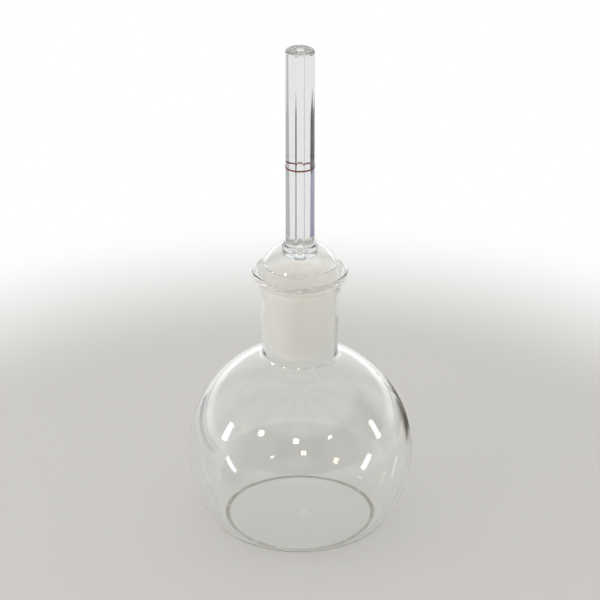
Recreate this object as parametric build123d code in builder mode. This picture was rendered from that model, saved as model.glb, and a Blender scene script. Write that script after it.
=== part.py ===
# Laboratory pycnometer: a blown glass bottle with a ground socket in its neck,
# and a hollow ground stopper that carries a thick-walled capillary stem.
# Millimetres, +Z up. The origin is the centre of the standing face.
from build123d import *
from math import atan, cos, radians, sin, sqrt
import os

os.makedirs("parts", exist_ok=True)

# Bulb of the bottle, 500 ml
bulb_diameter = 105.0
bulb_wall = 2.0
foot_diameter = 77.0
heel_radius = 8.5
dish_diameter = 54.0
dish_rise = 1.0
floor_thickness = 2.2

# Ground socket in the neck: standard taper 34/35, cone 1:10 on the diameter
socket_mouth_diameter = 34.5
socket_length = 35.0
taper_on_diameter = 0.1
throat_length = 4.7
throat_round = 4.0
neck_wall = 1.75
neck_root_radius = 3.0

# Flared lip above the socket
flare_lead = 4.2
flare_turn = 45.0
flare_outer_radius = 9.0
flare_inner_radius = 5.0

# Hollow ground stopper and the clear dome above its cone
ground_clearance = 0.1
stopper_wall = 1.9
stopper_foot_gap = 2.5
stopper_foot_round = 0.6
cone_above_socket = 8.4
dome_rise = 10.8
dome_shoulder_radius = 1.5

# Stem: thick-walled tube, fused through the top of the dome
stem_diameter = 13.5
stem_bore = 3.0
stem_length = 94.3
stem_root_radius = 2.0
stem_rim_radius = 1.3
bore_mouth_radius = 0.7
collar_diameter = 15.6
collar_length = 5.4
collar_round = 1.6
collar_funnel_radius = 1.8

# Fired enamel ring mark round the stem
mark_above_dome = 37.5
mark_width = 0.8
mark_thickness = 0.12

# Values worked out from the sizes above, from the foot up
bulb_radius = bulb_diameter / 2
inner_radius = bulb_radius - bulb_wall
outer_foot = foot_diameter / 2
bulb_centre_height = sqrt(bulb_radius**2 - outer_foot**2)
inner_foot = sqrt(inner_radius**2 - (bulb_centre_height - floor_thickness) ** 2)
dish_radius = dish_diameter / 2
dish_sphere = (dish_radius**2 + dish_rise**2) / (2 * dish_rise)
taper_on_radius = taper_on_diameter / 2
taper_angle = atan(taper_on_radius)
throat_radius = socket_mouth_diameter / 2 - socket_length * taper_on_radius
inner_root_height = bulb_centre_height + sqrt(inner_radius**2 - throat_radius**2)
socket_bottom_height = inner_root_height + throat_length
socket_top_height = socket_bottom_height + socket_length
flare_start_height = socket_top_height - flare_lead
stopper_foot_height = socket_bottom_height + stopper_foot_gap
shoulder_height = socket_top_height + cone_above_socket


def socket_radius(height):
    """Radius of the ground socket's cone at a height."""
    return socket_mouth_diameter / 2 + (height - socket_top_height) * taper_on_radius


def neck_radius(height):
    """Outside radius of the neck, which follows the socket's taper."""
    return socket_radius(height) + neck_wall


def cone_radius(height):
    """Outside radius of the stopper's ground cone."""
    return socket_radius(height) - ground_clearance


def flare_end(start, radius):
    """End of an arc that turns outwards from the taper by the flare's angle."""
    out = taper_angle + radians(flare_turn)
    return Vector(
        start.X + radius * (cos(taper_angle) - cos(out)),
        start.Y + radius * (sin(out) - sin(taper_angle)),
    )


def round_corner(sketch, corner, radius):
    """Round the sketch's vertex that lies nearest to a corner point."""
    vertex = sketch.vertices().sort_by_distance(corner)[0]
    fillet(vertex, radius=radius)


# Flask: one blown piece, the wall's section turned about the axis
outer_root = neck_radius(socket_bottom_height)
outer_root_height = bulb_centre_height + sqrt(bulb_radius**2 - outer_root**2)
flare_direction = Vector(
    sin(taper_angle + radians(flare_turn)), cos(taper_angle + radians(flare_turn))
)
neck_top = Vector(neck_radius(flare_start_height), flare_start_height)
socket_top = Vector(socket_mouth_diameter / 2, socket_top_height)
lip_outside = flare_end(neck_top, flare_outer_radius)
flare_inside = flare_end(socket_top, flare_inner_radius)
lip_inside = flare_inside + flare_direction * (lip_outside - flare_inside).dot(flare_direction)
lip_round = (lip_inside - lip_outside).length / 2
lip_crown = (lip_outside + lip_inside) / 2 + flare_direction * lip_round
taper_direction = (sin(taper_angle), cos(taper_angle))

with BuildPart() as flask:
    with BuildSketch(Plane.XZ) as wall:
        with BuildLine():
            # Outside, from the raised centre of the base up to the lip
            RadiusArc((0, dish_rise), (dish_radius, 0), dish_sphere)
            Line((dish_radius, 0), (outer_foot, 0))
            ThreePointArc(
                (outer_foot, 0),
                (bulb_radius, bulb_centre_height),
                (outer_root, outer_root_height),
            )
            Line((outer_root, outer_root_height), neck_top)
            JernArc(neck_top, taper_direction, flare_outer_radius, -flare_turn)
            # Fire-polished edge of the lip
            ThreePointArc(lip_outside, lip_crown, lip_inside)
            # Inside, from the lip down the ground cone to the floor
            Line(lip_inside, flare_inside)
            JernArc(socket_top, taper_direction, flare_inner_radius, -flare_turn)
            Line(socket_top, (throat_radius, socket_bottom_height))
            Line((throat_radius, socket_bottom_height), (throat_radius, inner_root_height))
            ThreePointArc(
                (throat_radius, inner_root_height),
                (inner_radius, bulb_centre_height),
                (inner_foot, floor_thickness),
            )
            Line((inner_foot, floor_thickness), (dish_radius, floor_thickness))
            RadiusArc(
                (dish_radius, floor_thickness), (0, dish_rise + floor_thickness), -dish_sphere
            )
            Line((0, dish_rise + floor_thickness), (0, dish_rise))
        make_face()
        round_corner(wall, (outer_foot, 0), heel_radius)
        round_corner(wall, (inner_foot, floor_thickness), heel_radius - bulb_wall)
        round_corner(wall, (outer_root, outer_root_height), neck_root_radius)
        round_corner(wall, (throat_radius, inner_root_height), throat_round)
    revolve(axis=Axis.Z)

# Stopper: cone, dome, inner collar and stem, fused into one piece
shoulder_radius = cone_radius(shoulder_height)
dome_radius = (shoulder_radius**2 + dome_rise**2) / (2 * dome_rise)
dome_inner_radius = dome_radius - stopper_wall
dome_centre_height = shoulder_height + dome_rise - dome_radius
dome_top_height = dome_centre_height + dome_radius
stem_radius = stem_diameter / 2
bore_radius = stem_bore / 2
stem_top_height = dome_top_height + stem_length
collar_radius = collar_diameter / 2
collar_foot_height = dome_top_height - stopper_wall - collar_length

# The inside of the dome is a ball about the same centre; it meets the inside of the cone
cone_at_centre = cone_radius(dome_centre_height) - stopper_wall
square = 1 + taper_on_radius**2
cross = cone_at_centre * taper_on_radius
inner_rise = (sqrt(cross**2 - square * (cone_at_centre**2 - dome_inner_radius**2)) - cross) / square

outer_shoulder = (shoulder_radius, shoulder_height)
inner_shoulder = (
    cone_at_centre + taper_on_radius * inner_rise,
    dome_centre_height + inner_rise,
)
foot_outside = (cone_radius(stopper_foot_height), stopper_foot_height)
foot_inside = (foot_outside[0] - stopper_wall, stopper_foot_height)
stem_root = (stem_radius, dome_centre_height + sqrt(dome_radius**2 - stem_radius**2))
collar_root = (
    collar_radius,
    dome_centre_height + sqrt(dome_inner_radius**2 - collar_radius**2),
)

with BuildPart() as stopper:
    with BuildSketch(Plane.XZ) as wall:
        with BuildLine():
            # Outside, up the ground cone, over the dome and up the stem
            Line(foot_outside, outer_shoulder)
            RadiusArc(outer_shoulder, stem_root, -dome_radius)
            Polyline(
                stem_root,
                (stem_radius, stem_top_height),
                (bore_radius, stem_top_height),
                (bore_radius, collar_foot_height),
                (collar_radius, collar_foot_height),
                collar_root,
            )
            # Inside of the dome and of the cone
            RadiusArc(collar_root, inner_shoulder, dome_inner_radius)
            Polyline(inner_shoulder, foot_inside, foot_outside)
        make_face()
        round_corner(wall, outer_shoulder, dome_shoulder_radius)
        round_corner(wall, stem_root, stem_root_radius)
        round_corner(wall, (stem_radius, stem_top_height), stem_rim_radius)
        round_corner(wall, (bore_radius, stem_top_height), bore_mouth_radius)
        round_corner(wall, (bore_radius, collar_foot_height), collar_funnel_radius)
        round_corner(wall, (collar_radius, collar_foot_height), collar_round)
        round_corner(wall, foot_inside, stopper_foot_round)
        round_corner(wall, foot_outside, stopper_foot_round)
    revolve(axis=Axis.Z)

# Ring mark: a thin enamel band fired on the stem
mark_height = dome_top_height + mark_above_dome

with BuildPart() as ring_mark:
    with BuildSketch(Plane.XY.offset(mark_height - mark_width / 2)):
        Circle(stem_radius + mark_thickness)
        Circle(stem_radius, mode=Mode.SUBTRACT)
    extrude(amount=mark_width)

flask.part.label = "flask"
stopper.part.label = "stopper"
ring_mark.part.label = "ring_mark"

export_step(flask.part, "parts/flask.step")
export_step(stopper.part, "parts/stopper.step")
export_step(ring_mark.part, "parts/ring_mark.step")
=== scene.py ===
import bpy
from math import cos, radians, sin
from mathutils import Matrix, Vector

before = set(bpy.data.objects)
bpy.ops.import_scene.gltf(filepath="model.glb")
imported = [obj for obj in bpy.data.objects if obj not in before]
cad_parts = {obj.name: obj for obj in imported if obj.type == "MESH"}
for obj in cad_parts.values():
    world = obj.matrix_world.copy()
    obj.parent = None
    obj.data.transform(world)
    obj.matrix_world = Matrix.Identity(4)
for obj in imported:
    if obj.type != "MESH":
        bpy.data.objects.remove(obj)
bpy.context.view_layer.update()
bpy.ops.object.select_all(action="DESELECT")

# Flask. One blown piece of borosilicate glass: a round bulb with a flat foot, and a
# neck whose inside is ground to a matt 1:10 socket. Its lip is flared and fire-polished.
SOCKET_BOTTOM = 0.0885
SOCKET_TOP = 0.1235
SOCKET_RADIUS = 0.01725
TAPER = 0.05
HALF_NECK_WALL = 0.0008
GROUND_EDGE = 0.00025
GLASS_IOR = 1.47
GLASS_TINT = (0.99, 0.995, 0.99, 1)
GLASS_DEPTH_TINT = (0.84, 0.855, 0.85, 1)
GLASS_DEPTH = 28.0
GROUND_TINT = (0.93, 0.92, 0.885, 1)
GREASE_LINE = (0.72, 0.42, 0.33, 1)
GREASE_WIDTH = 0.0008
GREASE_STRENGTH = 0.85
RAGGED_EDGE = 0.0008
LIGHT_SHARE = 0.96
# A dark ring painted round the outer edge of the flat foot: painted shade that stands in for the
# contact shadow where the foot meets the floor.
FOOT_EDGE = 0.0348
FOOT_SHADE_WIDTH = 0.0014
FOOT_SHADE_HEIGHT = 0.0005
FOOT_SHADE_COLOUR = (0.20, 0.185, 0.145, 1)
FOOT_SHADE_STRENGTH = 0.85


class Value:
    """A socket of a shader, so that the maths of a mask is written as an expression."""

    def __init__(self, material, socket):
        self.material = material
        self.socket = socket

    def math(self, operation, *others):
        return self.material.node(
            "ShaderNodeMath", {"operation": operation}, dict(enumerate((self, *others)))
        )

    def __add__(self, other):
        return self.math("ADD", other)

    def __radd__(self, other):
        return self.math("ADD", other)

    def __sub__(self, other):
        return self.math("SUBTRACT", other)

    def __rsub__(self, other):
        return self.material.node(
            "ShaderNodeMath", {"operation": "SUBTRACT"}, {0: other, 1: self}
        )

    def __mul__(self, other):
        return self.math("MULTIPLY", other)

    def __rmul__(self, other):
        return self.math("MULTIPLY", other)


class Finish:
    """A look made of nodes, for a material or for the room."""

    def __init__(self, owner):
        owner.use_nodes = True
        self.material = owner
        self.tree = owner.node_tree
        self.tree.nodes.clear()

    def node(self, kind, settings=None, sockets=None, output=0):
        """Add a node: its settings first, then the values or links of its sockets."""
        made = self.tree.nodes.new(kind)
        for name, value in (settings or {}).items():
            setattr(made, name, value)
        for name, value in (sockets or {}).items():
            if isinstance(value, Value):
                self.tree.links.new(value.socket, made.inputs[name])
            else:
                made.inputs[name].default_value = value
        return Value(self, made.outputs[output]) if made.outputs else made

    def place(self):
        """Height, distance from the axis and the point itself, on the piece's own axes."""
        point = self.node("ShaderNodeTexCoord", output="Object")
        x = self.node("ShaderNodeSeparateXYZ", sockets={0: point}, output="X")
        y = self.node("ShaderNodeSeparateXYZ", sockets={0: point}, output="Y")
        height = self.node("ShaderNodeSeparateXYZ", sockets={0: point}, output="Z")
        distance = (x * x + y * y).math("SQRT")
        return height, distance, point

    def rise(self, value, low, high):
        """From 0 to 1, smoothly, as the value goes from low to high."""
        return self.node(
            "ShaderNodeMapRange",
            {"interpolation_type": "SMOOTHSTEP"},
            {"Value": value, "From Min": low, "From Max": high},
        )

    def noise(self, point, scale, detail=2.0):
        return self.node(
            "ShaderNodeTexNoise", sockets={"Vector": point, "Scale": scale, "Detail": detail}
        )

    def surface(self, shader, inside=None):
        sockets = {"Surface": shader}
        if inside:
            sockets["Volume"] = inside
        self.node("ShaderNodeOutputMaterial", sockets=sockets)


def blown_glass(finish, point):
    """Clear glass whose surface keeps the faint waves of blowing."""
    waves = finish.noise(point, 38.0, 1.0)
    normal = finish.node(
        "ShaderNodeBump",
        sockets={"Strength": 0.25, "Distance": 0.0003, "Height": waves},
    )
    return finish.node(
        "ShaderNodeBsdfPrincipled",
        sockets={
            "Base Color": GLASS_TINT,
            "Roughness": 0.0,
            "IOR": GLASS_IOR,
            "Transmission Weight": 1.0,
            "Normal": normal,
        },
    )


def matt_glass(finish, point, colour):
    """Glass ground with grit: a dense white tooth that lets light through but no picture."""
    tooth = finish.noise(point, 5200.0, 3.0)
    drag = finish.noise(
        finish.node(
            "ShaderNodeMapping", sockets={"Vector": point, "Scale": (1.0, 1.0, 0.06)}
        ),
        900.0,
    )
    normal = finish.node(
        "ShaderNodeBump",
        sockets={"Strength": 0.35, "Distance": 0.00005, "Height": tooth * 0.7 + drag * 0.3},
    )
    return finish.node(
        "ShaderNodeBsdfPrincipled",
        sockets={
            "Base Color": colour,
            "Roughness": 0.6,
            "IOR": GLASS_IOR,
            "Transmission Weight": 0.85,
            "Normal": normal,
        },
    )


def glass_depth(finish):
    """The faint grey-green that thick glass takes on."""
    return finish.node(
        "ShaderNodeVolumeAbsorption",
        sockets={"Color": GLASS_DEPTH_TINT, "Density": GLASS_DEPTH},
    )


def let_lamps_through(finish, shader):
    """Light from the lamps and the room passes the glass and lights what is behind it."""
    clear_share = (LIGHT_SHARE, LIGHT_SHARE, LIGHT_SHARE, 1)
    for path in ("Is Diffuse Ray", "Is Shadow Ray"):
        shader = finish.node(
            "ShaderNodeMixShader",
            sockets={
                0: finish.node("ShaderNodeLightPath", output=path),
                1: shader,
                2: finish.node("ShaderNodeBsdfTransparent", sockets={"Color": clear_share}),
            },
        )
    return shader


flask_finish = Finish(bpy.data.materials.new("flask_glass"))
height, distance, point = flask_finish.place()
ragged = (flask_finish.noise(point, 420.0) - 0.5) * RAGGED_EDGE
lower = flask_finish.rise(height + ragged, SOCKET_BOTTOM, SOCKET_BOTTOM + GROUND_EDGE)
upper = 1 - flask_finish.rise(height + ragged, SOCKET_TOP, SOCKET_TOP + GROUND_EDGE)
wall_middle = (height - SOCKET_TOP) * TAPER + (SOCKET_RADIUS + HALF_NECK_WALL)
inside = flask_finish.rise(wall_middle - distance, 0.0, 0.0002)
ground = lower * upper * inside
near_top = flask_finish.rise(height, SOCKET_TOP - GREASE_WIDTH, SOCKET_TOP)
matt_colour = flask_finish.node(
    "ShaderNodeMix",
    {"data_type": "RGBA"},
    {"Factor": near_top * GREASE_STRENGTH, "A": GROUND_TINT, "B": GREASE_LINE},
    output="Result",
)
clear = blown_glass(flask_finish, point)
matt = matt_glass(flask_finish, point, matt_colour)
# Painted shade: a patchy dark brown ring round the outer edge of the flat foot, only in its lowest
# half millimetre, standing in for the contact shadow where the foot meets the floor.
from_edge = (distance - FOOT_EDGE).math("ABSOLUTE")
foot_shade_ring = 1 - flask_finish.rise(from_edge, FOOT_SHADE_WIDTH * 0.5, FOOT_SHADE_WIDTH)
foot_shade_ring = foot_shade_ring * (1 - flask_finish.rise(height, FOOT_SHADE_HEIGHT * 0.5, FOOT_SHADE_HEIGHT))
patchy_foot_shade = flask_finish.rise(flask_finish.noise(point, 260.0, 4.0), 0.2, 0.55)
patchy_foot_shade = patchy_foot_shade * FOOT_SHADE_STRENGTH
painted_foot_shade = flask_finish.node(
    "ShaderNodeBsdfPrincipled", sockets={"Base Color": FOOT_SHADE_COLOUR, "Roughness": 0.8}
)
glass = flask_finish.node("ShaderNodeMixShader", sockets={0: ground, 1: clear, 2: matt})
glass = flask_finish.node(
    "ShaderNodeMixShader", sockets={0: foot_shade_ring * patchy_foot_shade, 1: glass, 2: painted_foot_shade}
)
flask_finish.surface(let_lamps_through(flask_finish, glass), glass_depth(flask_finish))
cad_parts["flask"].material_slots[0].material = flask_finish.material

# Stopper. One fused piece of the same glass: a hollow ground cone that seats in the neck,
# a clear dome, and a thick-walled stem with a narrow bore sealed through the dome's top.
CONE_TOP = 0.1318
CONE_CLEARANCE = 0.0001
HALF_CONE_WALL = 0.0009
CONE_TINT = (0.82, 0.80, 0.75, 1)

stopper_finish = Finish(bpy.data.materials.new("stopper_glass"))
height, distance, point = stopper_finish.place()
ragged = (stopper_finish.noise(point, 420.0) - 0.5) * RAGGED_EDGE
below_dome = 1 - stopper_finish.rise(height + ragged, CONE_TOP - GROUND_EDGE, CONE_TOP)
cone_radius = (height - SOCKET_TOP) * TAPER + (SOCKET_RADIUS - CONE_CLEARANCE)
outside = stopper_finish.rise(distance - (cone_radius - HALF_CONE_WALL), 0.0, 0.0002)
clear = blown_glass(stopper_finish, point)
matt = matt_glass(stopper_finish, point, CONE_TINT)
glass = stopper_finish.node(
    "ShaderNodeMixShader", sockets={0: below_dome * outside, 1: clear, 2: matt}
)
stopper_finish.surface(let_lamps_through(stopper_finish, glass), glass_depth(stopper_finish))
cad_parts["stopper"].material_slots[0].material = stopper_finish.material

# Ring mark. A thin line of red-brown glass enamel, painted round the stem with a brush on a
# turning wheel and fired on, so it varies a little in depth and stands just proud.
ENAMEL_DARK = (0.10, 0.018, 0.016, 1)
ENAMEL_LIGHT = (0.26, 0.07, 0.055, 1)

mark_finish = Finish(bpy.data.materials.new("mark_enamel"))
_, _, point = mark_finish.place()
strokes = mark_finish.noise(point, 700.0)
colour = mark_finish.node(
    "ShaderNodeMix",
    {"data_type": "RGBA"},
    {"Factor": strokes, "A": ENAMEL_DARK, "B": ENAMEL_LIGHT},
    output="Result",
)
normal = mark_finish.node(
    "ShaderNodeBump", sockets={"Strength": 0.3, "Distance": 0.00004, "Height": strokes}
)
mark_finish.surface(
    mark_finish.node(
        "ShaderNodeBsdfPrincipled",
        sockets={"Base Color": colour, "Roughness": 0.28, "IOR": 1.52, "Normal": normal},
    )
)
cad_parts["ring_mark"].material_slots[0].material = mark_finish.material

# Floor. A plain pale sheet, light grey round the bottle and white further off. Where clear
# glass shows its white part, that is a little greyer, so that glass stands out from it.
FLOOR_HALF = 6.0
FLOOR_GAP = 0.0001
FLOOR_GREY = (0.52, 0.51, 0.485, 1)
GREY_POOL = 0.18
WHITE_FROM = 0.34
POSTS_FROM = 0.62
GLASS_VIEW = 0.82
POST_COUNT = 9
POST_DEPTH = 0.5


def through_clear(finish, surfaces):
    """1 for a ray that has crossed two surfaces of clear glass, or up to so many."""
    crossed = finish.node("ShaderNodeLightPath", output="Transmission Depth")
    return crossed.math("GREATER_THAN", 1.5) * crossed.math("LESS_THAN", surfaces + 0.5)


def posts(finish, point):
    """Soft dark uprights all round, which the stem gathers into the lines of its edges."""
    x = finish.node("ShaderNodeSeparateXYZ", sockets={0: point}, output="X")
    y = finish.node("ShaderNodeSeparateXYZ", sockets={0: point}, output="Y")
    turns = y.math("ARCTAN2", x) * POST_COUNT
    return finish.rise(turns.math("SINE"), 0.0, 0.8)


bpy.ops.mesh.primitive_plane_add(size=2 * FLOOR_HALF, location=(0, 0, -FLOOR_GAP))
floor = bpy.context.object
floor.name = "floor"
floor_finish = Finish(bpy.data.materials.new("floor"))
height, distance, point = floor_finish.place()
paper = floor_finish.node(
    "ShaderNodeBsdfPrincipled",
    sockets={"Base Color": FLOOR_GREY, "Roughness": 0.8, "Specular IOR Level": 0.2},
)
far_posts = posts(floor_finish, point)
far_posts = far_posts * floor_finish.rise(distance, POSTS_FROM, POSTS_FROM + 0.04)
shown = 1 - through_clear(floor_finish, 4) * (1 - GLASS_VIEW)
shown = shown - through_clear(floor_finish, 2) * far_posts * POST_DEPTH
white = floor_finish.node("ShaderNodeEmission", sockets={"Color": (1, 1, 1, 1), "Strength": shown})
far = floor_finish.rise(distance, GREY_POOL, WHITE_FROM)
floor_finish.surface(
    floor_finish.node("ShaderNodeMixShader", sockets={0: far, 1: paper, 2: white})
)
floor.data.materials.append(floor_finish.material)

# Room. A bright low band of windows behind the bottle, a dim wall above them, softer light
# from the left than from the right, and a pale ceiling.
BAND_LIGHT = 2.6
WALL_LIGHT = 1.3
LEFT_LIGHT = 1.3
RIGHT_LIGHT = 0.2
FRONT_SHARE = 0.3
RIGHT_FALL = 0.6
CEILING_LIGHT = 1.1

bpy.context.scene.world = bpy.data.worlds.new("room")
room = Finish(bpy.context.scene.world)
direction = room.node("ShaderNodeTexCoord", output="Generated")
rightward = room.node("ShaderNodeSeparateXYZ", sockets={0: direction}, output="X")
backward = room.node("ShaderNodeSeparateXYZ", sockets={0: direction}, output="Y")
upward = room.node("ShaderNodeSeparateXYZ", sockets={0: direction}, output="Z")
sides = LEFT_LIGHT + room.rise(rightward, -1.0, 1.0) * (RIGHT_LIGHT - LEFT_LIGHT)
band = 1 - room.rise(upward, 0.10, 0.20)
wall = band * BAND_LIGHT + (1 - band) * WALL_LIGHT
behind = room.rise(backward, 0.2, 0.6)
front = FRONT_SHARE + room.rise(backward, -0.9, 0.0) * (1 - FRONT_SHARE)
lit = room.rise(backward, -0.4, 0.1) * band * BAND_LIGHT
lit = lit * (1 - room.rise(rightward, 0.5, 0.95) * RIGHT_FALL)
walls = (sides * front * (1 - behind) + wall * behind).math("MAXIMUM", lit)
ceiling = room.rise(upward, 0.55, 0.75)
strength = walls * (1 - ceiling) + ceiling * CEILING_LIGHT
through = room.node("ShaderNodeLightPath", output="Is Transmission Ray")
background = strength.math("MINIMUM", 1)
background = background - through_clear(room, 4) * (1 - GLASS_VIEW)
background = background - through_clear(room, 2) * posts(room, direction) * POST_DEPTH
seen = strength * (1 - through) + through * background
camera_ray = room.node("ShaderNodeLightPath", output="Is Camera Ray")
seen = seen * (1 - camera_ray) + camera_ray
light = room.node("ShaderNodeBackground", sockets={"Color": (1, 1, 1, 1), "Strength": seen})
room.node("ShaderNodeOutputWorld", sockets={"Surface": light})

# Lamps. Two tall windows, one at each side, two small warm lamps behind the camera and a
# small window beside them: the bulb mirrors all five as the spots that show it is round.
WINDOW_COLOUR = (0.86, 0.92, 1.0)
LAMP_COLOUR = (1.0, 0.86, 0.66)
LAMPS = (
    ("window_left", (-0.97, -0.04, 0.24), 1.3, (0.13, 0.34), 3.4, WINDOW_COLOUR),
    ("window_right", (0.97, 0.05, 0.23), 1.3, (0.11, 0.36), 1.2, WINDOW_COLOUR),
    ("lamp_left", (-0.64, -0.54, 0.54), 2.2, (0.19, 0.22), 4.0, LAMP_COLOUR),
    ("lamp_back", (-0.07, -0.83, 0.55), 2.6, (0.24, 0.24), 6.0, LAMP_COLOUR),
    ("window_front", (0.51, -0.67, 0.54), 2.4, (0.17, 0.12), 1.2, WINDOW_COLOUR),
)
LIT_POINT = Vector((0, 0, 0.06))

for name, toward, reach, size, watts, colour in LAMPS:
    lamp = bpy.data.lights.new(name, "AREA")
    lamp.shape = "RECTANGLE"
    lamp.size, lamp.size_y = size
    lamp.energy = watts
    lamp.color = colour
    holder = bpy.data.objects.new(name, lamp)
    bpy.context.scene.collection.objects.link(holder)
    holder.location = LIT_POINT + Vector(toward).normalized() * reach
    holder.rotation_euler = (-Vector(toward)).to_track_quat("-Z", "Y").to_euler()
    holder.visible_camera = False

# Cards. Dark and grey cards lie on the floor outside the picture, and a small one stands at
# the right. Clear glass bends the view of them into the lines that show its edges and bore.
CARD_DARK = (0.03, 0.03, 0.045, 1)
CARD_BLUE = (0.22, 0.23, 0.33, 1)
CARD_GREY = (0.42, 0.42, 0.44, 1)
CARD_BROWN = (0.13, 0.12, 0.10, 1)
CARDS = (
    ("left", 134.0, 20.0, (0.396, 0.517), CARD_DARK),
    ("far_left", 160.0, 34.0, (0.396, 0.51), CARD_DARK),
    ("left_near", 134.0, 20.0, (0.30, 0.397), CARD_BLUE),
    ("far_left_near", 160.0, 34.0, (0.30, 0.397), CARD_BLUE),
    ("right_back", 40.0, 24.0, (0.30, 0.62), CARD_GREY),
    ("near_right", 46.0, 30.0, (0.135, 0.135), CARD_BROWN),
)
UPRIGHT_HEIGHT = 0.04
CARD_LIFT = 0.0005
CARD_TAPER = 2.4
LOOK_THROUGH = 2.5

for name, azimuth, spread, (near, far), colour in CARDS:
    upright = near == far
    reach = (near + far) / 2
    depth = UPRIGHT_HEIGHT if upright else far - near
    bpy.ops.object.select_all(action="DESELECT")
    bpy.ops.mesh.primitive_plane_add(size=1.0)
    card = bpy.context.object
    card.name = "card_" + name
    card.scale = (2 * reach * sin(radians(spread / 2)), depth, 1)
    card.rotation_euler = (radians(90 if upright else 0), 0, radians(azimuth + 90))
    card.location = (
        reach * cos(radians(azimuth)),
        reach * sin(radians(azimuth)),
        depth / 2 if upright else CARD_LIFT,
    )
    card.visible_camera = False
    card.visible_diffuse = False
    card.visible_shadow = False
    card_finish = Finish(bpy.data.materials.new(card.name))
    board = card_finish.node(
        "ShaderNodeBsdfPrincipled",
        sockets={"Base Color": colour, "Roughness": 1.0, "Specular IOR Level": 0.0},
    )
    gone = card_finish.node("ShaderNodeBsdfTransparent", sockets={"Color": (1, 1, 1, 1)})
    crossed = card_finish.node("ShaderNodeLightPath", output="Transmission Depth")
    hidden = crossed.math("GREATER_THAN", LOOK_THROUGH)
    if colour == CARD_DARK:
        # A dark card narrows to a point at its far end, so its line thins out up the stem.
        point = card_finish.node("ShaderNodeTexCoord", output="Object")
        across = card_finish.node("ShaderNodeSeparateXYZ", sockets={0: point}, output="X")
        along = card_finish.node("ShaderNodeSeparateXYZ", sockets={0: point}, output="Y")
        taper = across.math("ABSOLUTE") * 2 - (along + 0.5) * CARD_TAPER
        hidden = hidden.math("MAXIMUM", card_finish.rise(taper, 0.0, 0.3))
    card_finish.surface(
        card_finish.node("ShaderNodeMixShader", sockets={0: hidden, 1: board, 2: gone})
    )
    card.data.materials.append(card_finish.material)

# Camera. It stands where the photograph was taken from, and its long lens frames the bottle.
# Light takes many turns in thick glass, so it gets enough bounces to find its way out.
CAMERA_BACK = 1.661
CAMERA_HEIGHT = 0.913
AIM_HEIGHT = 0.1125
LENS = 240.0
BOUNCES = 48

camera = bpy.data.cameras.new("camera")
camera.lens = LENS
camera.clip_start = 0.1
camera.clip_end = 100
holder = bpy.data.objects.new("camera", camera)
bpy.context.scene.collection.objects.link(holder)
holder.location = (0, -CAMERA_BACK, CAMERA_HEIGHT)
holder.rotation_euler = (
    (Vector((0, 0, AIM_HEIGHT)) - holder.location).to_track_quat("-Z", "Y").to_euler()
)
bpy.context.scene.camera = holder
bpy.context.scene.view_settings.view_transform = "Standard"
bpy.context.scene.cycles.max_bounces = BOUNCES
bpy.context.scene.cycles.glossy_bounces = BOUNCES
bpy.context.scene.cycles.transmission_bounces = BOUNCES
bpy.context.scene.cycles.transparent_max_bounces = BOUNCES
